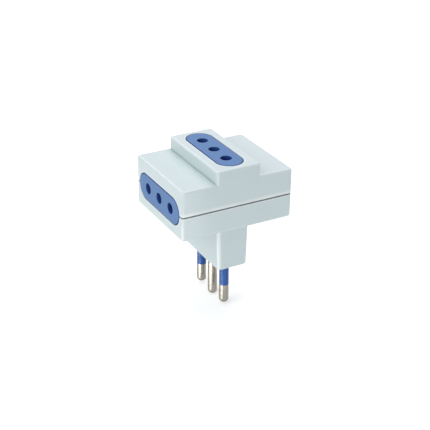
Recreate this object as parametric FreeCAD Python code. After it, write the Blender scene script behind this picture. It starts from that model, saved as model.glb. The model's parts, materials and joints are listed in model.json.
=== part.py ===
import FreeCAD, Part
import os
from FreeCAD import Placement, Rotation, Vector

# Plug adapter: one three-pin plug below, an outlet on top and one on each side. Lengths in millimetres.
# The origin is the centre of the plug's face, +Z points away from the wall outlet, and every row of
# pins or holes runs along Y.

# Poles, shared by the plug and the outlets
POLE_PITCH = 9.5
PIN_RADIUS = 2.0
PIN_LENGTH = 19.0
EARTH_PIN_EXTRA = 0.9
TIP_RADIUS = 1.7

# Case
BODY_WIDTH = 47.5
BLOCK_RISE = 5.2
WALL = 1.6
CORNER_RADIUS = 1.2
EDGE_RADIUS = 0.9
SEAM_DEPTH = 0.6
SEAM_HALF_HEIGHT = 0.25
LIP_OFFSET = 0.85
LIP_HEIGHT = 1.0
LIP_GAP = 0.1
FLOOR_RIB = 0.8
CEILING_RIB = 1.5
RIB_THICKNESS = 1.2

# Neck of the plug
NECK_LENGTH = 18.6
NECK_WIDTH_AT_FACE = 13.0
NECK_WIDTH_AT_BODY = 14.0
NECK_MARGIN = 6.8
NECK_CORNER_RADIUS = 1.6
NECK_EDGE_RADIUS = 1.0
NECK_END_WALL = 2.0
PIN_TUBE_WALL = 0.95

# Pins and their sleeves
SLEEVE_LENGTH = 10.6
SLEEVE_CORE_RADIUS = 1.5
SLEEVE_UNDERCUT = 0.02
SLEEVE_BORE_GAP = 0.03
SHANK_RADIUS = 2.4
SHANK_GAP = 0.05
FLANGE_RADIUS = 3.2
RIVET_RADIUS = 1.3
RIVET_GAP = 0.05
RIVET_HEAD_RADIUS = 1.85
RIVET_HEAD_HEIGHT = 0.6

# Contact strips
STRIP_THICKNESS = 0.5
GRIP = 0.1
STRIP_GAP = 0.15
ARM_ROOT_HEIGHT = 2.5
SIDE_ARM_HALF_HEIGHT = 3.5
TOP_ARM_HALF_WIDTH = 2.5
TIP_MARGIN = 0.35

# Outlet faces
HOLE_RADIUS = 2.2
HOLE_EDGE_RADIUS = 0.12
FACE_HALF_WIDTH = 5.3
FACE_MARGIN = 0.75
FACE_EDGE_RADIUS = 0.15
FACE_GAP = 0.3
OPENING_CHAMFER = 0.15
PLATE_THICKNESS = 1.3
HOUSING_END_WALL = 0.7
HOUSING_SIDE_WALL = 0.8
HOUSING_END_GAP = 0.25
HOUSING_SIDE_GAP = 0.3

# Shutters behind the faces
BLADE_OVERLAP = 0.2
WINDOW_GAP = 0.4
SHUTTER_RAIL = 1.0
SHUTTER_DEPTH = 4.0
SHUTTER_FRAME_DEPTH = 1.8
RAMP_FOOT = 0.5
RAMP_CREST = 0.6
SHUTTER_FRONT_GAP = 0.2
SHUTTER_BACK_GAP = 0.3
SHUTTER_END_GAP = 0.3
STOP_GAP = 0.05
STOP_LENGTH = 1.0
GUIDE_GAP = 0.15
GUIDE_RIB = 0.5
TAB_START = 1.0
TAB_THICKNESS = 1.2
TAB_RUN_GAP = 0.5
COVER_THICKNESS = 1.0
COVER_GAP = 0.05
COVER_HOLE_GAP = 0.2

# Shutter springs
WIRE_RADIUS = 0.1
COIL_RADIUS = 1.0
COIL_PITCH = 1.15
SPRING_GAP = 0.15
SPRING_WALL_GAP = 0.3
SPRING_END_GAP = 0.1
SPIGOT_GAP = 0.25
SPIGOT_LENGTH = 1.2

# Screws that close the case from below
SCREW_INSET = 1.35
SCREW_BOSS_RADIUS = 3.0
SCREW_BOSS_GAP = 0.3
SCREW_RADIUS = 1.45
SCREW_CLEARANCE = 0.15
THREAD_BITE = 0.25
SCREW_HEAD_RADIUS = 2.3
SCREW_HEAD_HEIGHT = 1.6
SCREW_HEAD_GAP = 0.2
SCREW_RECESS = 0.5
SCREW_REACH = 6.0
SCREW_TIP = 1.0
PILOT_EXTRA = 0.8
SLOT_WIDTH = 0.6
SLOT_DEPTH = 0.8
SLOT_END_GAP = 0.6

# Worked out: the shutter sets the length and width of the housing around it
BLADE_HALF = HOLE_RADIUS + BLADE_OVERLAP
SHUTTER_TRAVEL = 2 * BLADE_HALF
SHUTTER_HALF_LENGTH = POLE_PITCH + BLADE_HALF
SHUTTER_HALF_WIDTH = PIN_RADIUS + WINDOW_GAP + SHUTTER_RAIL
SPRING_OUTER = COIL_RADIUS + WIRE_RADIUS
GUIDE_INNER = SHUTTER_HALF_WIDTH + GUIDE_GAP
SPRING_OFFSET = GUIDE_INNER + GUIDE_RIB + SPRING_GAP + SPRING_OUTER
HOUSING_INNER_HALF_LENGTH = SHUTTER_HALF_LENGTH + SHUTTER_TRAVEL + SHUTTER_END_GAP
HOUSING_INNER_HALF_WIDTH = SPRING_OFFSET + SPRING_OUTER + SPRING_WALL_GAP
HOUSING_HALF_LENGTH = HOUSING_INNER_HALF_LENGTH + HOUSING_END_WALL
HOUSING_HALF_WIDTH = HOUSING_INNER_HALF_WIDTH + HOUSING_SIDE_WALL
FACE_HALF_LENGTH = HOUSING_HALF_LENGTH - FACE_MARGIN

# Worked out: depths below the surface of the case at an outlet
PLATE_BACK = WALL + PLATE_THICKNESS
SHUTTER_FRONT = PLATE_BACK + SHUTTER_FRONT_GAP
SHUTTER_BACK = SHUTTER_FRONT + SHUTTER_DEPTH
SHUTTER_FRAME_FRONT = SHUTTER_BACK - SHUTTER_FRAME_DEPTH
COVER_FRONT = SHUTTER_BACK + SHUTTER_BACK_GAP
OUTLET_DEPTH = COVER_FRONT + COVER_THICKNESS
SPRING_DEPTH = (SHUTTER_FRONT + SHUTTER_BACK) / 2

# Worked out: levels above the plug's face
UNDERSIDE_Z = NECK_LENGTH
FLOOR_Z = UNDERSIDE_Z + WALL
PARTING_Z = FLOOR_Z + FLOOR_RIB + HOUSING_HALF_WIDTH
CEILING_Z = PARTING_Z + HOUSING_HALF_WIDTH + CEILING_RIB
SHELF_Z = CEILING_Z + WALL
BLOCK_Z = SHELF_Z + BLOCK_RISE
STRIP_Z = FLOOR_Z + FLOOR_RIB
TOP_HOUSING_Z = BLOCK_Z - OUTLET_DEPTH

# Worked out: half widths and depths of the case
HALF_WIDTH = BODY_WIDTH / 2
HALF_DEPTH = HOUSING_HALF_LENGTH + HOUSING_END_GAP + WALL
BLOCK_HALF_WIDTH = HOUSING_HALF_WIDTH + HOUSING_SIDE_GAP + WALL
NECK_HALF_DEPTH = POLE_PITCH + NECK_MARGIN
INNER_HALF_WIDTH = HALF_WIDTH - WALL
INNER_HALF_DEPTH = HALF_DEPTH - WALL
HOUSING_INNER_END_X = HALF_WIDTH - OUTLET_DEPTH
STRIP_HALF_LENGTH = HOUSING_INNER_END_X - STRIP_GAP
STRIP_INNER = PIN_RADIUS - GRIP
STRIP_OUTER = STRIP_INNER + STRIP_THICKNESS
TUBE_RADIUS = SHANK_RADIUS + SHANK_GAP + PIN_TUBE_WALL
SCREW_X = HOUSING_INNER_END_X - SCREW_INSET - SCREW_BOSS_RADIUS
SCREW_Y = POLE_PITCH + STRIP_OUTER + SCREW_BOSS_GAP + SCREW_BOSS_RADIUS

POLES = {"line": -POLE_PITCH, "earth": 0.0, "neutral": POLE_PITCH}
SCREWS = {"front": Vector(-SCREW_X, -SCREW_Y, 0), "back": Vector(SCREW_X, SCREW_Y, 0)}

# An outlet is modelled looking up, with its place on the surface of the case at the origin
OUTLETS = {
    "top": Placement(Vector(0, 0, BLOCK_Z), Rotation()),
    "left": Placement(Vector(-HALF_WIDTH, 0, PARTING_Z), Rotation(Vector(0, 1, 0), -90)),
    "right": Placement(Vector(HALF_WIDTH, 0, PARTING_Z), Rotation(Vector(0, 1, 0), 90)),
}


def box(x, y, z):
    """Box between a low and a high limit along each axis."""
    return Part.makeBox(x[1] - x[0], y[1] - y[0], z[1] - z[0], Vector(x[0], y[0], z[0]))


def centred_box(half_x, half_y, low, high):
    """Box centred on the Z axis, from one level to another."""
    return box((-half_x, half_x), (-half_y, half_y), (low, high))


def rod(radius, low, high, x=0.0, y=0.0):
    """Upright cylinder between two levels."""
    return Part.makeCylinder(radius, high - low, Vector(x, y, low))


def obround(half_width, half_length, low, high):
    """Upright prism with round ends, its length along Y."""
    straight = half_length - half_width
    ends = [rod(half_width, low, high, 0, side * straight) for side in (-1, 1)]
    middle = centred_box(half_width, straight, low, high)
    return middle.multiFuse(ends).removeSplitter()


def upright_edges(shape):
    """Straight edges that run up the shape, with or without a draft."""
    boxes = [(edge, edge.BoundBox) for edge in shape.Edges]
    return [edge for edge, b in boxes if b.ZLength > max(b.XLength, b.YLength)]


def level_edges(shape, level):
    """Edges that lie wholly at one level."""
    near = 1e-6
    boxes = [(edge, edge.BoundBox) for edge in shape.Edges]
    return [edge for edge, b in boxes if abs(b.ZMin - level) < near and abs(b.ZMax - level) < near]


def rounded_box(half_x, half_y, low, high, corner):
    """Centred box with its four upright edges rounded."""
    shape = centred_box(half_x, half_y, low, high)
    return shape.makeFillet(corner, upright_edges(shape))


def frame_ring(outer, inner, low, high):
    """Rectangular ring between two outlines, each given as half widths along X and Y."""
    return centred_box(*outer, low, high).cut(centred_box(*inner, low, high))


def turned(profile, y=0.0):
    """Solid of revolution about an upright axis; the profile lists radius and level from bottom to top."""
    points = [Vector(radius, 0, level) for radius, level in profile]
    wire = Part.makePolygon(points + [points[0]])
    solid = Part.Face(wire).revolve(Vector(0, 0, 0), Vector(0, 0, 1), 360)
    solid.translate(Vector(0, y, 0))
    return solid


def fused(shape, pieces):
    """One clean solid from a shape and what is added to it."""
    return shape.multiFuse(pieces).removeSplitter()


def placed(shape, place):
    """Copy of a shape, moved to a place."""
    moved = shape.copy()
    moved.Placement = place.multiply(moved.Placement)
    return moved


def face_opening():
    """What an outlet's face takes out of the wall of the case, with a chamfer at the surface."""
    width = FACE_HALF_WIDTH + FACE_GAP
    length = FACE_HALF_LENGTH + FACE_GAP
    rim = obround(width + OPENING_CHAMFER, length + OPENING_CHAMFER, -OPENING_CHAMFER, WALL)
    rim = rim.makeChamfer(OPENING_CHAMFER, level_edges(rim, -OPENING_CHAMFER))
    return obround(width, length, -WALL, 0).fuse(rim)


def seam_groove(low, high):
    """Ring cut out of the surface of the case along the seam."""
    beyond = centred_box(HALF_WIDTH + WALL, HALF_DEPTH + WALL, low, high)
    kept = rounded_box(
        HALF_WIDTH - SEAM_DEPTH, HALF_DEPTH - SEAM_DEPTH, low, high, CORNER_RADIUS - SEAM_DEPTH
    )
    return beyond.cut(kept)


def lip(offset, height):
    """Ring that stands on the seam, between an offset from the surface and the inside of the wall."""
    outer = (HALF_WIDTH - offset, HALF_DEPTH - offset)
    inner = (INNER_HALF_WIDTH, INNER_HALF_DEPTH)
    return frame_ring(outer, inner, PARTING_Z, PARTING_Z + height)


def housing_ribs(low, high):
    """Ribs that hold the side housings off the floor or the ceiling of the case."""
    start = HOUSING_INNER_END_X + HOUSING_END_WALL
    end = INNER_HALF_WIDTH - HOUSING_END_WALL
    ribs = []
    for side in (-1, 1):
        for pole in (-POLE_PITCH, POLE_PITCH):
            x = sorted((side * start, side * end))
            ribs.append(box(x, (pole - RIB_THICKNESS / 2, pole + RIB_THICKNESS / 2), (low, high)))
    return ribs


def housing_stops(low, high):
    """Upright ribs in the corners of the case, behind the side housings."""
    y_start = HOUSING_INNER_HALF_LENGTH
    stops = []
    for x_side in (-1, 1):
        for y_side in (-1, 1):
            x = sorted((x_side * (HOUSING_INNER_END_X - RIB_THICKNESS), x_side * HOUSING_INNER_END_X))
            y = sorted((y_side * y_start, y_side * (INNER_HALF_DEPTH + WALL / 2)))
            stops.append(box(x, y, (low, high)))
    return stops


def pole_ribs(x, low, high):
    """Ribs between the poles, from one X to another."""
    ribs = []
    for middle in (-POLE_PITCH / 2, POLE_PITCH / 2):
        ribs.append(box(x, (middle - RIB_THICKNESS / 2, middle + RIB_THICKNESS / 2), (low, high)))
    return ribs


def upper_case():
    """Upper shell with the raised block in the middle."""
    shelf = rounded_box(HALF_WIDTH, HALF_DEPTH, PARTING_Z, SHELF_Z, CORNER_RADIUS)
    shelf = shelf.makeFillet(EDGE_RADIUS, level_edges(shelf, SHELF_Z))
    block = rounded_box(BLOCK_HALF_WIDTH, HALF_DEPTH, PARTING_Z, BLOCK_Z, CORNER_RADIUS)
    block = block.makeFillet(EDGE_RADIUS, level_edges(block, BLOCK_Z))
    shell = fused(shelf, [block])
    block_inner = BLOCK_HALF_WIDTH - WALL
    shell = shell.cut(centred_box(INNER_HALF_WIDTH, INNER_HALF_DEPTH, PARTING_Z, CEILING_Z))
    shell = shell.cut(centred_box(block_inner, INNER_HALF_DEPTH, PARTING_Z, BLOCK_Z - WALL))
    pieces = housing_ribs(CEILING_Z - CEILING_RIB, CEILING_Z)
    pieces += housing_stops(PARTING_Z, CEILING_Z)
    pieces += pole_ribs((-STRIP_HALF_LENGTH, -block_inner), PARTING_Z, CEILING_Z)
    pieces += pole_ribs((block_inner, STRIP_HALF_LENGTH), PARTING_Z, CEILING_Z)
    pieces += [rod(SCREW_BOSS_RADIUS, PARTING_Z, CEILING_Z, at.x, at.y) for at in SCREWS.values()]
    room = HOUSING_HALF_WIDTH + HOUSING_SIDE_GAP
    pieces = [piece.cut(centred_box(room, INNER_HALF_DEPTH, TOP_HOUSING_Z, CEILING_Z)) for piece in pieces]
    shell = fused(shell, pieces)
    shell = shell.cut(seam_groove(PARTING_Z, PARTING_Z + SEAM_HALF_HEIGHT))
    shell = shell.cut(lip(LIP_OFFSET - LIP_GAP, LIP_HEIGHT + LIP_GAP))
    pilot_end = PARTING_Z + SCREW_REACH + PILOT_EXTRA
    for at in SCREWS.values():
        shell = shell.cut(rod(SCREW_RADIUS - THREAD_BITE, PARTING_Z, pilot_end, at.x, at.y))
    for place in OUTLETS.values():
        shell = shell.cut(placed(face_opening(), place))
    return shell


def neck():
    """Neck of the plug, wider towards the body, with rounded edges."""
    top = UNDERSIDE_Z + WALL / 2
    half_face = NECK_WIDTH_AT_FACE / 2
    half_top = half_face + (NECK_WIDTH_AT_BODY / 2 - half_face) * top / NECK_LENGTH
    outline = [(-half_face, 0), (half_face, 0), (half_top, top), (-half_top, top), (-half_face, 0)]
    wire = Part.makePolygon([Vector(x, -NECK_HALF_DEPTH, z) for x, z in outline])
    shape = Part.Face(wire).extrude(Vector(0, 2 * NECK_HALF_DEPTH, 0))
    shape = shape.makeFillet(NECK_CORNER_RADIUS, upright_edges(shape))
    return shape.makeFillet(NECK_EDGE_RADIUS, level_edges(shape, 0))


def pin_bore(y):
    """Hole through the neck and its tube for one pin's shank."""
    return rod(SHANK_RADIUS + SHANK_GAP, 0, FLOOR_Z, 0, y)


def lower_case():
    """Lower shell with the neck of the plug."""
    tray = rounded_box(HALF_WIDTH, HALF_DEPTH, UNDERSIDE_Z, PARTING_Z, CORNER_RADIUS)
    tray = tray.makeFillet(EDGE_RADIUS, level_edges(tray, UNDERSIDE_Z))
    shell = fused(tray, [neck()])
    shell = shell.cut(centred_box(INNER_HALF_WIDTH, INNER_HALF_DEPTH, FLOOR_Z, PARTING_Z))
    neck_inner = NECK_WIDTH_AT_FACE / 2 - WALL
    neck_depth = NECK_HALF_DEPTH - WALL
    shell = shell.cut(centred_box(neck_inner, neck_depth, NECK_END_WALL, FLOOR_Z))
    inside = NECK_END_WALL / 2
    pieces = [rod(TUBE_RADIUS, inside, FLOOR_Z, 0, y) for y in POLES.values()]
    pieces.append(centred_box(RIB_THICKNESS / 2, neck_depth + WALL / 2, inside, FLOOR_Z))
    pieces += pole_ribs((-neck_inner - WALL / 2, neck_inner + WALL / 2), inside, FLOOR_Z + WALL)
    pieces += pole_ribs((-STRIP_HALF_LENGTH, STRIP_HALF_LENGTH), FLOOR_Z - WALL / 2, PARTING_Z)
    support = HOUSING_INNER_HALF_WIDTH
    pieces += pole_ribs((-support, support), FLOOR_Z, TOP_HOUSING_Z)
    pieces += housing_ribs(FLOOR_Z - WALL / 2, STRIP_Z)
    pieces += housing_stops(FLOOR_Z - WALL / 2, PARTING_Z)
    rest = STRIP_HALF_LENGTH - ARM_ROOT_HEIGHT
    for side in (-1, 1):
        x = sorted((side * rest, side * (rest - RIB_THICKNESS)))
        pieces.append(box(x, (-INNER_HALF_DEPTH, INNER_HALF_DEPTH), (FLOOR_Z - WALL / 2, STRIP_Z)))
    pieces += [rod(SCREW_BOSS_RADIUS, UNDERSIDE_Z, PARTING_Z, at.x, at.y) for at in SCREWS.values()]
    pieces.append(lip(LIP_OFFSET, LIP_HEIGHT))
    shell = fused(shell, pieces)
    shell = shell.cut(seam_groove(PARTING_Z - SEAM_HALF_HEIGHT, PARTING_Z))
    for y in POLES.values():
        shell = shell.cut(pin_bore(y))
    head_end = UNDERSIDE_Z + SCREW_RECESS + SCREW_HEAD_HEIGHT
    for at in SCREWS.values():
        shell = shell.cut(rod(SCREW_HEAD_RADIUS + SCREW_HEAD_GAP, UNDERSIDE_Z, head_end, at.x, at.y))
        shell = shell.cut(rod(SCREW_RADIUS + SCREW_CLEARANCE, UNDERSIDE_Z, PARTING_Z, at.x, at.y))
    for side in ("left", "right"):
        shell = shell.cut(placed(face_opening(), OUTLETS[side]))
    return shell


def socket_face():
    """Outlet face with its three holes, and the housing of the shutter behind it."""
    boss = obround(FACE_HALF_WIDTH, FACE_HALF_LENGTH, -PLATE_BACK, 0)
    boss = boss.makeFillet(FACE_EDGE_RADIUS, level_edges(boss, 0))
    plate = centred_box(HOUSING_HALF_WIDTH, HOUSING_HALF_LENGTH, -PLATE_BACK, -WALL)
    walls = frame_ring(
        (HOUSING_HALF_WIDTH, HOUSING_HALF_LENGTH),
        (HOUSING_INNER_HALF_WIDTH, HOUSING_INNER_HALF_LENGTH),
        -OUTLET_DEPTH,
        -PLATE_BACK,
    )
    length = HOUSING_INNER_HALF_LENGTH
    guide_outer = GUIDE_INNER + GUIDE_RIB
    depth = (-COVER_FRONT, -PLATE_BACK)
    tab_end = TAB_START + TAB_THICKNESS + SHUTTER_TRAVEL + TAB_RUN_GAP
    stop = -SHUTTER_HALF_LENGTH - STOP_GAP
    pieces = [
        plate,
        walls,
        box((-guide_outer, -GUIDE_INNER), (-length, length), depth),
        box((GUIDE_INNER, guide_outer), (-length, TAB_START - TAB_RUN_GAP), depth),
        box((GUIDE_INNER, guide_outer), (tab_end, length), depth),
        box((-guide_outer, guide_outer), (stop - STOP_LENGTH, stop), depth),
        spring_spigot(length, -SPIGOT_LENGTH),
    ]
    shape = fused(boss, pieces)
    for y in POLES.values():
        shape = shape.cut(rod(HOLE_RADIUS, -PLATE_BACK, 0, 0, y))
    rims = [e for e in level_edges(shape, 0) if e.BoundBox.XLength < FACE_HALF_WIDTH]
    return shape.makeFillet(HOLE_EDGE_RADIUS, rims)


def spring_spigot(start, length):
    """Small pin along Y that keeps one end of the spring in place."""
    radius = COIL_RADIUS - WIRE_RADIUS - SPIGOT_GAP
    base = Vector(SPRING_OFFSET, min(start, start + length), -SPRING_DEPTH)
    return Part.makeCylinder(radius, abs(length), base, Vector(0, 1, 0))


def blade(y):
    """Wedge that closes one hole; a pin that presses on its slope drives the shutter along +Y."""
    low = y - BLADE_HALF
    high = y + BLADE_HALF
    points = [
        (low, -SHUTTER_BACK),
        (high, -SHUTTER_BACK),
        (high, -SHUTTER_FRONT),
        (high - RAMP_CREST, -SHUTTER_FRONT),
        (low, -SHUTTER_BACK + RAMP_FOOT),
        (low, -SHUTTER_BACK),
    ]
    wire = Part.makePolygon([Vector(-SHUTTER_HALF_WIDTH, a, z) for a, z in points])
    return Part.Face(wire).extrude(Vector(2 * SHUTTER_HALF_WIDTH, 0, 0))


def shutter():
    """Sliding frame with a blade behind each outer hole and a tab that the spring presses on."""
    window = POLE_PITCH - BLADE_HALF
    inner = SHUTTER_HALF_WIDTH - SHUTTER_RAIL
    rails = frame_ring(
        (SHUTTER_HALF_WIDTH, SHUTTER_HALF_LENGTH - RAMP_CREST),
        (inner, window),
        -SHUTTER_BACK,
        -SHUTTER_FRAME_FRONT,
    )
    clear_of_ends = 2 * SHUTTER_HALF_WIDTH
    rails = rails.common(centred_box(clear_of_ends, window + RAMP_CREST, -SHUTTER_BACK, -SHUTTER_FRONT))
    tab = box(
        (inner, SPRING_OFFSET + SPRING_OUTER),
        (TAB_START, TAB_START + TAB_THICKNESS),
        (-SHUTTER_BACK, -SPRING_DEPTH + SPRING_OUTER),
    )
    spigot = spring_spigot(TAB_START + TAB_THICKNESS, SPIGOT_LENGTH)
    return fused(rails, [blade(-POLE_PITCH), blade(POLE_PITCH), tab, spigot])


def shutter_cover():
    """Plate that closes the housing behind the shutter, with a hole for each pin."""
    plate = centred_box(
        HOUSING_INNER_HALF_WIDTH - COVER_GAP,
        HOUSING_INNER_HALF_LENGTH - COVER_GAP,
        -OUTLET_DEPTH,
        -COVER_FRONT,
    )
    for y in POLES.values():
        plate = plate.cut(rod(HOLE_RADIUS + COVER_HOLE_GAP, -OUTLET_DEPTH, -COVER_FRONT, 0, y))
    return plate


def shutter_spring():
    """Coil spring from the shutter's tab to the end wall of the housing."""
    start = TAB_START + TAB_THICKNESS + SPRING_END_GAP + WIRE_RADIUS
    length = HOUSING_INNER_HALF_LENGTH - SPRING_END_GAP - WIRE_RADIUS - start
    helix = Part.makeHelix(COIL_PITCH, length, COIL_RADIUS)
    circle = Part.makeCircle(WIRE_RADIUS, Vector(COIL_RADIUS, 0, 0), Vector(0, 1, 0))
    coil = Part.Wire(helix.Edges).makePipeShell([Part.Wire(circle)], True, True)
    place = Placement(Vector(SPRING_OFFSET, start, -SPRING_DEPTH), Rotation(Vector(1, 0, 0), -90))
    return placed(coil, place)


def contact_strip(y):
    """Folded brass strip of one pole: a base and two cheeks that grip the pins of all three outlets."""
    base = box(
        (-STRIP_HALF_LENGTH, STRIP_HALF_LENGTH),
        (y - STRIP_OUTER, y + STRIP_OUTER),
        (STRIP_Z, STRIP_Z + STRIP_THICKNESS),
    )
    inner_end = HALF_WIDTH - PIN_LENGTH - TIP_MARGIN
    root = STRIP_Z + ARM_ROOT_HEIGHT
    top = TOP_HOUSING_Z - STRIP_GAP
    pieces = []
    for side in (-1, 1):
        cheek = sorted((y + side * STRIP_INNER, y + side * STRIP_OUTER))
        pieces.append(box((-STRIP_HALF_LENGTH, STRIP_HALF_LENGTH), cheek, (STRIP_Z, root)))
        pieces.append(box((-TOP_ARM_HALF_WIDTH, TOP_ARM_HALF_WIDTH), cheek, (STRIP_Z, top)))
        for end in (-1, 1):
            x = sorted((end * inner_end, end * STRIP_HALF_LENGTH))
            pieces.append(box(x, cheek, (STRIP_Z, PARTING_Z + SIDE_ARM_HALF_HEIGHT)))
    strip = fused(base, pieces)
    return strip.cut(rod(RIVET_RADIUS + RIVET_GAP, STRIP_Z, STRIP_Z + STRIP_THICKNESS, 0, y))


def pin(pole):
    """Turned pin: free end, shank through the neck, flange and a rivet through the contact strip."""
    if pole == "earth":
        end = -PIN_LENGTH - EARTH_PIN_EXTRA
        profile = [(0.0, end), (PIN_RADIUS, end), (PIN_RADIUS, 0.0), (SHANK_RADIUS, 0.0)]
    else:
        end = -PIN_LENGTH
        profile = [(0.0, end), (PIN_RADIUS, end), (PIN_RADIUS, -SLEEVE_LENGTH)]
        profile += [(SLEEVE_CORE_RADIUS, -SLEEVE_LENGTH), (SLEEVE_CORE_RADIUS, NECK_END_WALL)]
        profile += [(SHANK_RADIUS, NECK_END_WALL)]
    strip_top = STRIP_Z + STRIP_THICKNESS
    profile += [
        (SHANK_RADIUS, FLOOR_Z),
        (FLANGE_RADIUS, FLOOR_Z),
        (FLANGE_RADIUS, STRIP_Z),
        (RIVET_RADIUS, STRIP_Z),
        (RIVET_RADIUS, strip_top),
        (RIVET_HEAD_RADIUS, strip_top),
        (RIVET_HEAD_RADIUS, strip_top + RIVET_HEAD_HEIGHT),
        (0.0, strip_top + RIVET_HEAD_HEIGHT),
    ]
    solid = turned(profile, POLES[pole])
    return solid.makeFillet(TIP_RADIUS, level_edges(solid, end))


def pin_sleeve(pole):
    """Insulating sleeve around the upper part of a live pin, with a collar in the end wall of the neck."""
    y = POLES[pole]
    outside = rod(PIN_RADIUS - SLEEVE_UNDERCUT, -SLEEVE_LENGTH, 0, 0, y)
    outside = outside.fuse(rod(SHANK_RADIUS, 0, NECK_END_WALL, 0, y))
    return outside.cut(rod(SLEEVE_CORE_RADIUS + SLEEVE_BORE_GAP, -SLEEVE_LENGTH, NECK_END_WALL, 0, y))


def case_screw(at):
    """Screw with a cross slot in its head, driven from below into a boss of the upper case."""
    head_low = UNDERSIDE_Z + SCREW_RECESS
    head_high = head_low + SCREW_HEAD_HEIGHT
    end = PARTING_Z + SCREW_REACH
    head = rod(SCREW_HEAD_RADIUS, head_low, head_high)
    tip = Part.makeCone(SCREW_RADIUS, 0, SCREW_TIP, Vector(0, 0, end - SCREW_TIP))
    screw = fused(head, [rod(SCREW_RADIUS, head_high, end - SCREW_TIP), tip])
    reach = SCREW_HEAD_RADIUS - SLOT_END_GAP
    for half_x, half_y in ((reach, SLOT_WIDTH / 2), (SLOT_WIDTH / 2, reach)):
        screw = screw.cut(centred_box(half_x, half_y, head_low, head_low + SLOT_DEPTH))
    screw.translate(at)
    return screw


def all_parts():
    """Every piece of the adapter, by name."""
    parts = {"upper_case": upper_case(), "lower_case": lower_case()}
    outlet = {
        "socket_face": socket_face(),
        "shutter": shutter(),
        "shutter_cover": shutter_cover(),
        "shutter_spring": shutter_spring(),
    }
    for side, place in OUTLETS.items():
        for name, shape in outlet.items():
            parts[f"{side}_{name}"] = placed(shape, place)
    for pole, y in POLES.items():
        parts[f"{pole}_contact"] = contact_strip(y)
        parts[f"{pole}_pin"] = pin(pole)
    for pole in ("line", "neutral"):
        parts[f"{pole}_sleeve"] = pin_sleeve(pole)
    for where, at in SCREWS.items():
        parts[f"case_screw_{where}"] = case_screw(at)
    return parts


os.makedirs("parts", exist_ok=True)
for node, solid in all_parts().items():
    solid.exportStep(f"parts/{node}.step")
    print(f"{node:22s} solids {len(solid.Solids)}  valid {solid.isValid()}  volume {solid.Volume:9.2f} mm3")
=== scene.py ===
# %% [markdown]
# # A three-outlet plug adapter
#
# The object is a white plug adapter with a blue outlet face on top and on each side, and three round pins
# below. Its solids come ready made from the CAD model, at their real size in metres. What is left to do
# here is how they look: moulded plastic, nickel, brass and steel, on a white table in soft light, seen
# from where the photograph was taken.

# %% Load the CAD model
import json
import math

import bpy
from mathutils import Matrix, Vector

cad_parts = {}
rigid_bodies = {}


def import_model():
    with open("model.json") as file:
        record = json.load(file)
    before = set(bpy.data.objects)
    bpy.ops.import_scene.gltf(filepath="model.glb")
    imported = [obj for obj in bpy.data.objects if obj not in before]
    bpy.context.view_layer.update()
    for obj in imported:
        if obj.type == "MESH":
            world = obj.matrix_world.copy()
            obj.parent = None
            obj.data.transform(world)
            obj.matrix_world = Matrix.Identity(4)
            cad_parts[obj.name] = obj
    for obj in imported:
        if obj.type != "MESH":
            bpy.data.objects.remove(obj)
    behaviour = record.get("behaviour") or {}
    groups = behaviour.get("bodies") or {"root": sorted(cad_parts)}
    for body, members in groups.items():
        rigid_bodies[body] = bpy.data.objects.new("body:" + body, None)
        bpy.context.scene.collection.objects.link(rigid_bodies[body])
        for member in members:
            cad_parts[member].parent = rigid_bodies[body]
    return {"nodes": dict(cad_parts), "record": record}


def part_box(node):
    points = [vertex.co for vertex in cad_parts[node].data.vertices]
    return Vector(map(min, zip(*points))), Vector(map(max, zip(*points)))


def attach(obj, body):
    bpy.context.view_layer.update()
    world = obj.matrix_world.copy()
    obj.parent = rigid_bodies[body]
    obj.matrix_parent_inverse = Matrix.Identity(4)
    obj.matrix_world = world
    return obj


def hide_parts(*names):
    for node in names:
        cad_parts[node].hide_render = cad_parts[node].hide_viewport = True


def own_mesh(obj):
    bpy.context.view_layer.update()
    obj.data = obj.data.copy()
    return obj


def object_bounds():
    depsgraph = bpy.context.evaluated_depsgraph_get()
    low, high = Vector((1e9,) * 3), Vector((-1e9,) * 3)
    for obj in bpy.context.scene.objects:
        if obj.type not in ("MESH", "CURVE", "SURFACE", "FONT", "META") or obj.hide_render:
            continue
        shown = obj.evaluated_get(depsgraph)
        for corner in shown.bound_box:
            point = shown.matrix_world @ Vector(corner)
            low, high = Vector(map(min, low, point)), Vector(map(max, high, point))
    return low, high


for leftover in list(bpy.data.objects):
    bpy.data.objects.remove(leftover)
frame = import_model()
cad_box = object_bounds()
print("CAD box, mm:", [[round(1000 * value, 2) for value in corner] for corner in cad_box])

# %% [markdown]
# A material in Blender is a small network of nodes. Wiring each one by hand takes many lines that say
# little, so a few helpers come first. One adds a node and feeds its inputs. The others add the three
# kinds that are used most: noise, arithmetic, and a mix of two colours. The last two start a material
# with its shader, and start a node group, which is an effect with named inputs and outputs that several
# materials can share.

# %% Helpers for node networks
FLOAT, COLOUR, VECTOR = "NodeSocketFloat", "NodeSocketColor", "NodeSocketVector"


def node(tree, kind, feeds=None, **settings):
    """Adds one node; each input named in feeds gets a plain value, or a link from a socket."""
    made = tree.nodes.new(kind)
    for name, value in settings.items():
        setattr(made, name, value)
    for name, value in (feeds or {}).items():
        if isinstance(value, bpy.types.NodeSocket):
            tree.links.new(value, made.inputs[name])
        else:
            made.inputs[name].default_value = value
    return made


def noise(tree, where, scale, detail=2.0):
    """Smooth noise from 0 to 1 with about scale bumps to the metre."""
    feeds = {"Vector": where, "Scale": scale, "Detail": detail}
    return node(tree, "ShaderNodeTexNoise", feeds).outputs["Fac"]


def arithmetic(tree, operation, *values):
    """One sum or product of numbers and sockets."""
    return node(tree, "ShaderNodeMath", dict(enumerate(values)), operation=operation).outputs[0]


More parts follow.
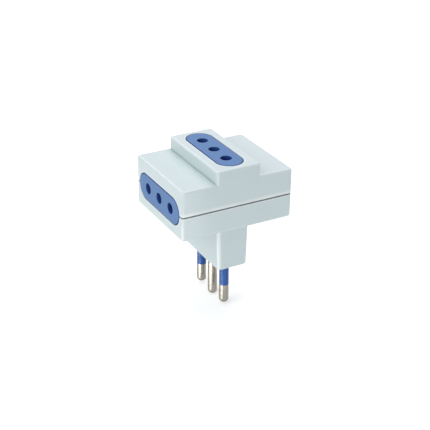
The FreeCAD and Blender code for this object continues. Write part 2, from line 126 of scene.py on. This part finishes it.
def stretch(tree, value, low, high, bottom=0.0, top=1.0):
    """Carries value from the range low..high over to bottom..top, easing in and out at the ends."""
    feeds = {"Value": value, "From Min": low, "From Max": high, "To Min": bottom, "To Max": top}
    return node(tree, "ShaderNodeMapRange", feeds, interpolation_type="SMOOTHSTEP").outputs[0]


def mix_colours(tree, share, first, second):
    """first x (1 - share) + second x share."""
    mixer = node(tree, "ShaderNodeMix", data_type="RGBA")
    sockets = {socket.identifier: socket for socket in mixer.inputs}
    for identifier, value in {"Factor_Float": share, "A_Color": first, "B_Color": second}.items():
        if isinstance(value, bpy.types.NodeSocket):
            tree.links.new(value, sockets[identifier])
        else:
            sockets[identifier].default_value = value
    return next(socket for socket in mixer.outputs if socket.identifier == "Result_Color")


def object_place(tree):
    """The place of each shaded point in its object's own metres."""
    return node(tree, "ShaderNodeTexCoord").outputs["Object"]


def start_group(name, inputs, outputs):
    """An empty node group: inputs maps a name to its kind and default, and outputs a name to its kind."""
    group = bpy.data.node_groups.new(name, "ShaderNodeTree")
    for label, (kind, default) in inputs.items():
        group.interface.new_socket(name=label, in_out="INPUT", socket_type=kind).default_value = default
    for label, kind in outputs.items():
        group.interface.new_socket(name=label, in_out="OUTPUT", socket_type=kind)
    return group, node(group, "NodeGroupInput").outputs


def end_group(group, results):
    """Feeds the group's outputs."""
    node(group, "NodeGroupOutput", results)
    print(group.name, "has", len(group.nodes), "nodes")
    return group


def start_material(name, plain):
    """A material with a Principled shader, on which the values that are the same all over are set."""
    material = bpy.data.materials.new(name)
    material.use_nodes = True
    tree = material.node_tree
    tree.nodes.clear()
    shader = node(tree, "ShaderNodeBsdfPrincipled", plain)
    node(tree, "ShaderNodeOutputMaterial", {"Surface": shader.outputs["BSDF"]})
    return material, tree, shader.inputs


# %% [markdown]
# Every plastic piece here was pressed against the smooth wall of a steel mould. So its skin has a faint
# orange peel, a very fine grain, and a colour that drifts by a percent or two where the melt flowed. All
# of that could be modelled, but it is thousandths of a millimetre deep, so three noise textures of
# different sizes do it: the widest tints the colour, the middle one waves the surface, and the finest one
# makes the gloss uneven.

# %% Shared effect: moulded skin
DRIFT_PER_METRE = 85.0
PEEL_PER_METRE = 520.0
GRAIN_PER_METRE = 4200.0


def build_moulded_skin():
    """Colour x (1 + drift x noise), roughness + spread x noise, and height = peel + grain x finer noise."""
    group, given = start_group(
        "moulded_skin",
        {
            "Colour": (COLOUR, (0.8, 0.8, 0.8, 1.0)),
            "Drift": (FLOAT, 0.04),
            "Roughness": (FLOAT, 0.3),
            "Spread": (FLOAT, 0.1),
            "Grain": (FLOAT, 0.3),
        },
        {"Colour": COLOUR, "Roughness": FLOAT, "Height": FLOAT},
    )
    where = object_place(group)
    flow = arithmetic(group, "SUBTRACT", noise(group, where, DRIFT_PER_METRE, 3.0), 0.5)
    gain = arithmetic(group, "MULTIPLY_ADD", flow, given["Drift"], 1.0)
    tint = node(group, "ShaderNodeVectorMath", {0: given["Colour"], "Scale": gain}, operation="SCALE")
    fine = noise(group, where, GRAIN_PER_METRE)
    uneven = arithmetic(group, "SUBTRACT", fine, 0.5)
    rough = arithmetic(group, "MULTIPLY_ADD", uneven, given["Spread"], given["Roughness"])
    peel = noise(group, where, PEEL_PER_METRE, 1.0)
    height = arithmetic(group, "MULTIPLY_ADD", fine, given["Grain"], peel)
    return end_group(group, {"Colour": tint.outputs["Vector"], "Roughness": rough, "Height": height})


moulded_skin = build_moulded_skin()

# %% [markdown]
# Where a piece stands proud, its rounded edges are made smoother and paler than its sides: partly as
# rubbed wear, partly as a painted highlight. Creases are painted darker, as painted shade: in the seam,
# along the foot of the raised block and round the holes. Painting these by hand would have to be done
# again after each change of shape. Ambient occlusion finds them instead. Looking outwards from the
# surface, it is dark in a crease. Looking inwards, it is dark under an edge, because the next side is
# near. Both look at the piece alone, so nothing changes when a shutter moves. The widely rounded upright
# edges turn too slowly for that. There the surface faces between two sides: with its normal (x, y) at the
# angle a round the piece, 2 |x y| = |sin 2a| is 0 on a side and 1 midway round the edge. These edges get
# a painted highlight, strongest low down, on the neck.

# %% Shared effect: edges rubbed and painted with highlight, creases painted with shade
PATCHES_PER_METRE = 240.0
PATCHY_FROM, PATCHY_TO, PATCHY_LEAST = 0.3, 0.6, 0.55
EDGE_START, CREASE_START, UPRIGHT_HIGHLIGHT_START = 0.1, 0.15, 0.65
# Heights over which the painted highlight on the upright edges fades from full to none.
HIGHLIGHT_FULL_BELOW, HIGHLIGHT_NONE_ABOVE = 0.018, 0.034
RAYS = 8


def build_wear_and_light():
    """Edge: nearness to an outer edge, patchy. Crease: depth in a corner. Upright Highlight: |sin 2a|, low
    down.
    """
    group, given = start_group(
        "wear_and_light",
        {
            "Edge Reach": (FLOAT, 0.0012),
            "Edge Full": (FLOAT, 0.5),
            "Crease Reach": (FLOAT, 0.0016),
            "Crease Full": (FLOAT, 0.7),
        },
        {"Edge": FLOAT, "Crease": FLOAT, "Upright": FLOAT},
    )
    shared = {"only_local": True, "samples": RAYS}
    edge_reach, crease_reach = {"Distance": given["Edge Reach"]}, {"Distance": given["Crease Reach"]}
    inward = node(group, "ShaderNodeAmbientOcclusion", edge_reach, inside=True, **shared)
    outward = node(group, "ShaderNodeAmbientOcclusion", crease_reach, **shared)
    near = arithmetic(group, "SUBTRACT", 1.0, inward.outputs["AO"])
    crease_shade = arithmetic(group, "SUBTRACT", 1.0, outward.outputs["AO"])
    uneven = noise(group, object_place(group), PATCHES_PER_METRE, 3.0)
    patches = stretch(group, uneven, PATCHY_FROM, PATCHY_TO, PATCHY_LEAST, 1.0)
    edge = arithmetic(group, "MULTIPLY", stretch(group, near, EDGE_START, given["Edge Full"]), patches)
    crease = stretch(group, crease_shade, CREASE_START, given["Crease Full"])
    # Upright Highlight: a painted highlight on the widely rounded upright edges, strongest low down.
    normal = node(group, "ShaderNodeTexCoord").outputs["Normal"]
    facing = node(group, "ShaderNodeSeparateXYZ", {"Vector": normal}).outputs
    product = arithmetic(group, "MULTIPLY", facing["X"], facing["Y"])
    between = arithmetic(group, "MULTIPLY", arithmetic(group, "ABSOLUTE", product), 2.0)
    height = node(group, "ShaderNodeSeparateXYZ", {"Vector": object_place(group)}).outputs["Z"]
    lowness = stretch(group, height, HIGHLIGHT_FULL_BELOW, HIGHLIGHT_NONE_ABOVE, 1.0, 0.0)
    upright_highlight = arithmetic(group, "MULTIPLY", stretch(group, between, UPRIGHT_HIGHLIGHT_START, 1.0), lowness)
    return end_group(group, {"Edge": edge, "Crease": crease, "Upright": upright_highlight})


wear_and_light = build_wear_and_light()

# %% [markdown]
# Where two pieces meet, the narrow joint is painted dark, as painted shade: along the seam between the
# two shells, and round each outlet face. The wear and light effect looks at one piece alone, so it can't
# see such a joint. But the joints' places are known, so plain arithmetic finds them. The seam is a level.
# The outline of a face is a slot with round ends, and the distance to it is that to the slot's middle
# line, less half the slot's width: fold the plane about its axes, take off the straight half length, and
# what is left is the side of a right triangle.

# %% Shared effect: joints painted dark as shade
FACE_HALF_WIDTH = 0.0053
FACE_HALF_LENGTH = 0.01695
HALF_GAP = 0.00015
SKIN_DEPTH = 0.002
SEAM_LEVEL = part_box("upper_case")[0].z
TOP_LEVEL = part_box("upper_case")[1].z
SIDE_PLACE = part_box("upper_case")[1].x


def slot_distance(tree, along, across):
    """Distance to a slot's outline = |length(across, max(|along| - straight, 0)) - half width|."""
    straight = FACE_HALF_LENGTH - FACE_HALF_WIDTH
    folded = arithmetic(tree, "ABSOLUTE", along)
    beyond = arithmetic(tree, "MAXIMUM", arithmetic(tree, "SUBTRACT", folded, straight), 0.0)
    offset = node(tree, "ShaderNodeCombineXYZ", {"X": across, "Y": beyond}).outputs["Vector"]
    reach = node(tree, "ShaderNodeVectorMath", {0: offset}, operation="LENGTH").outputs["Value"]
    return arithmetic(tree, "ABSOLUTE", arithmetic(tree, "SUBTRACT", reach, FACE_HALF_WIDTH + HALF_GAP))


def build_joints():
    """Seam and Outline are 1 within Full of a joint's middle and fade to 0 at Reach."""
    group, given = start_group(
        "joints", {"Full": (FLOAT, 0.0002), "Reach": (FLOAT, 0.0004)}, {"Seam": FLOAT, "Outline": FLOAT}
    )
    place = node(group, "ShaderNodeSeparateXYZ", {"Vector": object_place(group)}).outputs
    rise = arithmetic(group, "SUBTRACT", place["Z"], SEAM_LEVEL)
    sideways = arithmetic(group, "ABSOLUTE", place["X"])
    distances = [
        arithmetic(group, "ABSOLUTE", rise),
        slot_distance(group, place["Y"], place["X"]),
        slot_distance(group, place["Y"], rise),
    ]
    full, reach = given["Full"], given["Reach"]
    # Seam and outline masks, for the painted shade in the joints.
    seam, top, side = [stretch(group, distance, full, reach, 1.0, 0.0) for distance in distances]
    at_top = arithmetic(group, "GREATER_THAN", place["Z"], TOP_LEVEL - SKIN_DEPTH)
    at_side = arithmetic(group, "GREATER_THAN", sideways, SIDE_PLACE - SKIN_DEPTH)
    outlines = [arithmetic(group, "MULTIPLY", top, at_top), arithmetic(group, "MULTIPLY", side, at_side)]
    return end_group(group, {"Seam": seam, "Outline": arithmetic(group, "MAXIMUM", *outlines)})


joints = build_joints()

# %% [markdown]
# Metal parts carry the marks of how they were made. A lathe leaves fine rings round the pins and screws,
# rolling leaves lines along the brass strips, and drawing leaves lines along a wire. All three are one
# noise texture that is stretched along some directions and squeezed along another, so one group serves,
# and each metal gives it its own scale.

# %% Shared effect: tool marks
TARNISH_PER_METRE = 380.0
CLOUDS_FROM, CLOUDS_TO = 0.35, 0.75
TARNISH_DULLS = 0.3


def build_tool_marks():
    """Lines = noise of place x scale: a large scale gives fine lines across that axis. Tarnish: clouds."""
    group, given = start_group(
        "tool_marks",
        {
            "Colour": (COLOUR, (0.6, 0.6, 0.6, 1.0)),
            "Tarnish": (COLOUR, (0.3, 0.28, 0.25, 1.0)),
            "Tarnish Share": (FLOAT, 0.25),
            "Scale": (VECTOR, (100.0, 100.0, 9000.0)),
            "Roughness": (FLOAT, 0.25),
            "Spread": (FLOAT, 0.15),
        },
        {"Colour": COLOUR, "Roughness": FLOAT, "Height": FLOAT},
    )
    where = object_place(group)
    scaled = node(group, "ShaderNodeVectorMath", {0: where, 1: given["Scale"]}, operation="MULTIPLY")
    lines = noise(group, scaled.outputs["Vector"], 1.0, 4.0)
    clouds = stretch(group, noise(group, where, TARNISH_PER_METRE, 4.0), CLOUDS_FROM, CLOUDS_TO)
    share = arithmetic(group, "MULTIPLY", clouds, given["Tarnish Share"])
    colour = mix_colours(group, share, given["Colour"], given["Tarnish"])
    uneven = arithmetic(group, "SUBTRACT", lines, 0.5)
    marked = arithmetic(group, "MULTIPLY_ADD", uneven, given["Spread"], given["Roughness"])
    rough = arithmetic(group, "MULTIPLY_ADD", share, TARNISH_DULLS, marked)
    return end_group(group, {"Colour": colour, "Roughness": rough, "Height": lines})


tool_marks = build_tool_marks()

# %% [markdown]
# The case is acrylonitrile butadiene styrene or a plastic like it: glossy, and a cool white that leans to
# green on the photograph's front. The outlet faces are the same plastic in a dusty blue, the shutters
# behind them are nearly navy, and the sleeves on the pins are a strong, glossy blue. One function makes
# them all, because they differ only in colour, gloss, wear and painted light. A paler colour comes in
# where the wear and light group finds an edge, as rubbed wear and painted highlight. A dark one in creases
# and joints is painted shade: grey on the white case, and a deep blue in the holes, which light hardly
# reaches.

# %% Plastics
PLASTIC_IOR = 1.53
PEEL_HEIGHT = 0.000012
RUB_SMOOTHS = -0.08
CREASE_DULLS = 0.4
# Painted shade colours for creases, joints and holes.
SHADE_GREY = (0.066, 0.082, 0.084)
SHADE_BLUE = (0.001, 0.012, 0.24)
finishes = {}


def make_plastic(slot, colours, roughness, edge, crease, shine=0.5, upright_highlight=0.0, dark_joints=None):
    """A plastic: skin, edges rubbed and painted paler as highlight, painted shade. Edge and crease: a reach
    and a share each.
    """
    plain, rubbed_and_sheen, crease_shade = ((*colour, 1.0) for colour in colours)
    material, tree, shader = start_material(slot, {"IOR": PLASTIC_IOR, "Specular IOR Level": shine})
    given = {"Colour": plain, "Roughness": roughness}
    skin = node(tree, "ShaderNodeGroup", given, node_tree=moulded_skin).outputs
    reaches = {"Edge Reach": edge[0], "Crease Reach": crease[0]}
    wear_and_light_masks = node(tree, "ShaderNodeGroup", reaches, node_tree=wear_and_light).outputs
    # Paler edges: rubbed wear and painted highlight; the upright edges get a painted highlight.
    rub_and_highlight_share = arithmetic(tree, "MULTIPLY", wear_and_light_masks["Edge"], edge[1])
    if upright_highlight:
        upright_highlight_share = arithmetic(tree, "MULTIPLY", wear_and_light_masks["Upright"], upright_highlight)
        rub_and_highlight_share = arithmetic(tree, "MAXIMUM", rub_and_highlight_share, upright_highlight_share)
    # Darker creases and joints: painted shade.
    dust_and_shade_share = arithmetic(tree, "MULTIPLY", wear_and_light_masks["Crease"], crease[1])
    for joint, share in (dark_joints or {}).items():
        found = node(tree, "ShaderNodeGroup", node_tree=joints).outputs[joint]
        dust_and_shade_share = arithmetic(tree, "MAXIMUM", dust_and_shade_share, arithmetic(tree, "MULTIPLY", found, share))
    paler = mix_colours(tree, rub_and_highlight_share, skin["Colour"], rubbed_and_sheen)
    tree.links.new(mix_colours(tree, dust_and_shade_share, paler, crease_shade), shader["Base Color"])
    smoother = arithmetic(tree, "MULTIPLY_ADD", rub_and_highlight_share, RUB_SMOOTHS, skin["Roughness"])
    duller = arithmetic(tree, "MULTIPLY_ADD", dust_and_shade_share, CREASE_DULLS, smoother)
    tree.links.new(duller, shader["Roughness"])
    relief = {"Strength": 1.0, "Distance": PEEL_HEIGHT, "Height": skin["Height"]}
    tree.links.new(node(tree, "ShaderNodeBump", relief).outputs["Normal"], shader["Normal"])
    finishes[slot] = material
    print("plastic:", slot)


# Each: skin colour, paler edge colour (rubbed wear and painted highlight), painted shade colour.
WHITE = ((0.64, 0.74, 0.75), (0.94, 0.97, 0.97), SHADE_GREY)
BLUE = ((0.078, 0.195, 0.44), (0.3, 0.42, 0.68), SHADE_BLUE)
NAVY = ((0.001, 0.01, 0.16), (0.02, 0.04, 0.18), SHADE_BLUE)
COVER = ((0.09, 0.17, 0.4), (0.2, 0.3, 0.55), SHADE_BLUE)
STRONG_BLUE = ((0.002, 0.08, 0.34), (0.12, 0.22, 0.55), SHADE_BLUE)
FINE_EDGE = (0.0003, 0.3)
CREASE = (0.0016, 0.8)
# The white case: paler edges and upright edges as painted highlight, seam and outlines as painted shade.
make_plastic(
    "case_white", WHITE, 0.14, (0.0015, 0.65), (0.001, 0.5), upright_highlight=0.95,
    dark_joints={"Seam": 0.6, "Outline": 0.35},
)
# The blue faces' creases reach into the holes, which are painted dark blue as painted shade.
make_plastic("face_blue", BLUE, 0.3, FINE_EDGE, (0.006, 1.0), shine=0.25, dark_joints={"Outline": 0.6})
make_plastic("shutter_navy", NAVY, 0.5, FINE_EDGE, CREASE, shine=0.1)
make_plastic("cover_blue", COVER, 0.45, FINE_EDGE, CREASE)
make_plastic("sleeve_blue", STRONG_BLUE, 0.22, (0.0002, 0.3), CREASE, shine=0.35)

# %% [markdown]
# The pins are turned from brass and plated with nickel, which is warmer and greyer than chrome. The
# contact strips are bare rolled brass, the springs are drawn steel wire and the screws are zinc plated. A
# metal has no colour but what its reflections take on, so its material is a metallic base, an uneven
# roughness, and a bump that follows the tool marks.

# %% Metals
METAL_EDGE_REACH = 0.0003
METAL_DUST = 0.4
METAL_RUB_SMOOTHS = -0.05
PIN_GROOVE = 0.000001


def make_metal(slot, colour, tarnish, scale, roughness, share=0.3, groove=0.000004):
    """A metal with tool marks: scale is how many lines there are to the metre along each axis."""
    material, tree, shader = start_material(slot, {"Metallic": 1.0})
    given = {"Colour": (*colour, 1.0), "Tarnish": (*tarnish, 1.0), "Tarnish Share": share}
    given.update({"Scale": scale, "Roughness": roughness})
    marks = node(tree, "ShaderNodeGroup", given, node_tree=tool_marks).outputs
    wear_and_light_masks = node(tree, "ShaderNodeGroup", {"Edge Reach": METAL_EDGE_REACH}, node_tree=wear_and_light).outputs
    dust_and_shade_share = arithmetic(tree, "MULTIPLY", wear_and_light_masks["Crease"], METAL_DUST)
    dusty = mix_colours(tree, dust_and_shade_share, marks["Colour"], (*tarnish, 1.0))
    tree.links.new(dusty, shader["Base Color"])
    smoother = arithmetic(tree, "MULTIPLY_ADD", wear_and_light_masks["Edge"], METAL_RUB_SMOOTHS, marks["Roughness"])
    tree.links.new(smoother, shader["Roughness"])
    relief = {"Strength": 1.0, "Distance": groove, "Height": marks["Height"]}
    tree.links.new(node(tree, "ShaderNodeBump", relief).outputs["Normal"], shader["Normal"])
    finishes[slot] = material
    print("metal:", slot)


make_metal(
    "pin_nickel", (0.31, 0.295, 0.26), (0.22, 0.2, 0.165), (60.0, 60.0, 5200.0), 0.14, groove=PIN_GROOVE
)
make_metal("contact_brass", (0.78, 0.56, 0.25), (0.4, 0.24, 0.1), (60.0, 5200.0, 5200.0), 0.3)
make_metal("spring_steel", (0.5, 0.5, 0.5), (0.25, 0.24, 0.23), (2500.0, 60.0, 2500.0), 0.28)
make_metal("screw_steel", (0.6, 0.61, 0.63), (0.35, 0.34, 0.33), (400.0, 400.0, 5200.0), 0.3)

# %% [markdown]
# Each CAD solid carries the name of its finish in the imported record. The CAD meshes are right as they
# are, so they stay untouched, and only the material in each one's slot is exchanged, the hidden inner
# pieces' too.

# %% Dress the CAD solids
for part in frame["record"]["subparts"]:
    solid = frame["nodes"][part["node"]]
    for slot in solid.material_slots:
        slot.material = finishes[part["material_slot"]]
    print(part["node"], "is", part["material_slot"])

# %% [markdown]
# A coil spring behind each shutter closes it. When the shutter slides open, its spring gets shorter, and
# the spring's far end stays where it is. A CAD solid can't change its shape, so a steel copy with a mesh of
# its own takes its place, and the CAD spring is hidden.

# %% Spring copies


def make_coil(side):
    """A steel copy of the side's spring takes its place, and the CAD spring is hidden."""
    solid = f"{side}_shutter_spring"
    coil = bpy.data.objects.new(f"{side}_coil", frame["nodes"][solid].data.copy())
    coil.data.materials.clear()
    coil.data.materials.append(finishes["spring_steel"])
    bpy.context.scene.collection.objects.link(coil)
    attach(coil, "adapter")
    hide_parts(solid)
    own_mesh(coil)


for joint in frame["record"]["behaviour"]["joints"]:
    make_coil(joint["name"].split("_")[0])

# %% [markdown]
# The adapter stands on its pins on a white table. The photograph has no horizon and hardly a shadow, so
# the table is a large white sheet that shines a little, for the eye only: lit, it is pure white, and
# under the adapter it keeps a soft shadow. Farther away its shine grows to full white, so that no horizon
# shows in a low view. Its back is clear, so that the adapter can be looked at from below.

# %% Table
NEAR, FAR = 0.12, 0.45
NEAR_SHINE = 0.45
TABLE_WHITE = (0.82, 0.82, 0.82, 1.0)
PIN_TIP_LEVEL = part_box("earth_pin")[0].z
TABLE_HALF = 2.0
table_mesh = bpy.data.meshes.new("table")
corners = [(x * TABLE_HALF, y * TABLE_HALF, PIN_TIP_LEVEL) for x, y in ((-1, -1), (1, -1), (1, 1), (-1, 1))]
table_mesh.from_pydata(corners, [], [(0, 1, 2, 3)])
table = bpy.data.objects.new("table", table_mesh)
bpy.context.scene.collection.objects.link(table)


def seen_directly(tree):
    """1 for rays from the camera, a mirror or glass, and 0 for the light that falls on things."""
    path = node(tree, "ShaderNodeLightPath").outputs
    direct = arithmetic(tree, "MAXIMUM", path["Is Camera Ray"], path["Is Glossy Ray"])
    return arithmetic(tree, "MAXIMUM", direct, path["Is Transmission Ray"])


def make_table_material():
    """White and matt, clear from behind; to the eye it shines too, and farther away up to full white."""
    material = bpy.data.materials.new("table_white")
    material.use_nodes = True
    tree = material.node_tree
    tree.nodes.clear()
    matt = node(tree, "ShaderNodeBsdfDiffuse", {"Color": TABLE_WHITE})
    away = node(tree, "ShaderNodeVectorMath", {0: object_place(tree)}, operation="LENGTH").outputs["Value"]
    shine = stretch(tree, away, NEAR, FAR, NEAR_SHINE, 1.0)
    strength = arithmetic(tree, "MULTIPLY", seen_directly(tree), shine)
    glow = node(tree, "ShaderNodeEmission", {"Strength": strength})
    both = node(tree, "ShaderNodeAddShader", {0: matt.outputs[0], 1: glow.outputs[0]})
    behind = node(tree, "ShaderNodeNewGeometry").outputs["Backfacing"]
    clear = node(tree, "ShaderNodeBsdfTransparent")
    sided = node(tree, "ShaderNodeMixShader", {0: behind, 1: both.outputs[0], 2: clear.outputs[0]})
    node(tree, "ShaderNodeOutputMaterial", {"Surface": sided.outputs[0]})
    return material


table_mesh.materials.append(make_table_material())
print("table at", round(1000 * PIN_TIP_LEVEL, 2), "mm")

# %% [markdown]
# Behind everything is the world. To the eye and to reflections it is plain white at a strength of 1. To
# the surfaces it lights it is dimmer, so that the lamps can shape them.

# %% World
SKY_LIGHT = 0.42
SKY_COLOUR = (0.93, 0.98, 1.0, 1.0)
PLAIN_WHITE = (1.0, 1.0, 1.0, 1.0)
world = bpy.data.worlds.new("white_room")
world.use_nodes = True
room = world.node_tree
room.nodes.clear()
sky = node(room, "ShaderNodeBackground", {"Color": SKY_COLOUR, "Strength": SKY_LIGHT})
backdrop = node(room, "ShaderNodeBackground", {"Color": PLAIN_WHITE, "Strength": 1.0})
either = {0: seen_directly(room), 1: sky.outputs[0], 2: backdrop.outputs[0]}
chosen = node(room, "ShaderNodeMixShader", either)
node(room, "ShaderNodeOutputWorld", {"Surface": chosen.outputs[0]})
bpy.context.scene.world = world
print("sky light:", SKY_LIGHT)

# %% [markdown]
# The lamps are softboxes, each given by where it stands round the adapter and by its level: the
# brightness that it alone gives to a white surface facing it. A lamp of power P at distance d gives that
# surface P / (pi d)^2, which the helper turns round. In the photograph the left side is brighter than the
# front, and the top is brightest, so one lamp is high on the left and one above. The undersides and the
# lower parts of the sides are bright too, as over a white table in strong light, so weaker lamps stand
# low, beneath the table's level, and the table lets their light through.
#
# The smaller a lamp is for its level, the brighter its mirror image. The glossy case must not mirror
# anything much brighter than itself, or a side seen at a slant would turn plain white. So its low lamps
# are broad, and one of them gives matt light only. The pins carry a thin white line in the photograph, so
# they need small bright lamps. Those shine on the rods alone.

# %% Lamps
ADAPTER_CENTRE = Vector((0.0, 0.0, 0.5 * (cad_box[0].z + cad_box[1].z)))


def outward(azimuth, elevation):
    """Unit vector from the adapter; azimuth 0 is the front and 90 the right, in degrees."""
    turn, rise = math.radians(azimuth), math.radians(elevation)
    return Vector((math.sin(turn) * math.cos(rise), -math.cos(turn) * math.cos(rise), math.sin(rise)))


def softbox(name, azimuth, elevation, distance, width, height, level, colour=(1.0, 1.0, 1.0)):
    """A lamp facing the adapter: level x (pi x distance)^2 watts light a white surface to that level."""
    lamp = bpy.data.lights.new(name, "AREA")
    lamp.color = colour
    lamp.shape = "RECTANGLE"
    lamp.size, lamp.size_y = width, height
    lamp.energy = level * (math.pi * distance) ** 2
    holder = bpy.data.objects.new(name, lamp)
    back = outward(azimuth, elevation)
    holder.location = ADAPTER_CENTRE + distance * back
    holder.rotation_euler = back.to_track_quat("Z", "Y").to_euler()
    holder.visible_camera = False
    bpy.context.scene.collection.objects.link(holder)
    print(f"{name}: {lamp.energy:.2f} W")
    return holder


softbox("left_lamp", -75, 38, 0.8, 0.5, 0.5, 0.35)
softbox("top_lamp", 120, 66, 0.8, 0.6, 0.4, 0.38, (1.0, 0.93, 1.0))
softbox("back_lamp", 185, 45, 0.8, 0.6, 0.5, 0.17)
softbox("low_front_fill", -10, -22, 0.22, 0.25, 0.08, 0.27)
softbox("low_left_lamp", -98, -29.5, 0.52, 0.3, 0.06, 0.075)
matt_fill = softbox("low_left_fill", -70, -31.5, 0.55, 0.42, 0.08, 0.07)
matt_fill.visible_glossy = False

rods = bpy.data.collections.new("rods")
for name in ("line_pin", "earth_pin", "neutral_pin", "line_sleeve", "neutral_sleeve"):
    rods.objects.link(frame["nodes"][name])
rod_lamps = [
    softbox("rod_left_lamp", -73, -31.5, 0.5, 0.42, 0.026, 0.13),
    softbox("rod_right_lamp", 107, -31.5, 0.5, 0.42, 0.03, 0.045),
]
for lamp in rod_lamps:
    lamp.light_linking.receiver_collection = rods
table.visible_shadow = False
table.visible_glossy = False

# %% [markdown]
# A camera was fitted to some sixty points of the photograph: corners, edges, hole centres and pin tips.
# It stands about 40 cm away, 29 degrees round to the left and 27 degrees up, and is rolled by less than a
# degree. A focal length in pixels becomes one in millimetres when it is divided by the picture's width
# and multiplied by the sensor's.

# %% Camera
PICTURE_WIDTH = 430
FOCAL_PIXELS = 1017.9
SENSOR_WIDTH = 36.0
CAMERA_AZIMUTH = -28.882
CAMERA_ELEVATION = 27.113
CAMERA_ROLL = 0.688
CAMERA_DISTANCE = 0.3983
CAMERA_RIGHT = 0.000552
CAMERA_UP = -0.011308
AIM_HEIGHT = 0.0285


def make_camera():
    """Axes from azimuth, elevation and roll. Place = aim + distance x back + the offsets along the axes."""
    back = outward(CAMERA_AZIMUTH, CAMERA_ELEVATION)
    level_right = Vector((0.0, 0.0, 1.0)).cross(back).normalized()
    level_up = back.cross(level_right)
    roll = math.radians(CAMERA_ROLL)
    right = level_right * math.cos(roll) + level_up * math.sin(roll)
    up = level_up * math.cos(roll) - level_right * math.sin(roll)
    data = bpy.data.cameras.new("camera")
    data.sensor_width = SENSOR_WIDTH
    data.lens = FOCAL_PIXELS / PICTURE_WIDTH * SENSOR_WIDTH
    camera = bpy.data.objects.new("camera", data)
    turn = Matrix((right, up, back)).transposed().to_4x4()
    place = Vector((0.0, 0.0, AIM_HEIGHT)) + CAMERA_DISTANCE * back + CAMERA_RIGHT * right + CAMERA_UP * up
    camera.matrix_world = Matrix.Translation(place) @ turn
    bpy.context.scene.collection.objects.link(camera)
    return camera


bpy.context.scene.camera = make_camera()
bpy.context.scene.view_settings.view_transform = "Standard"
print("lens:", round(bpy.context.scene.camera.data.lens, 2), "mm")
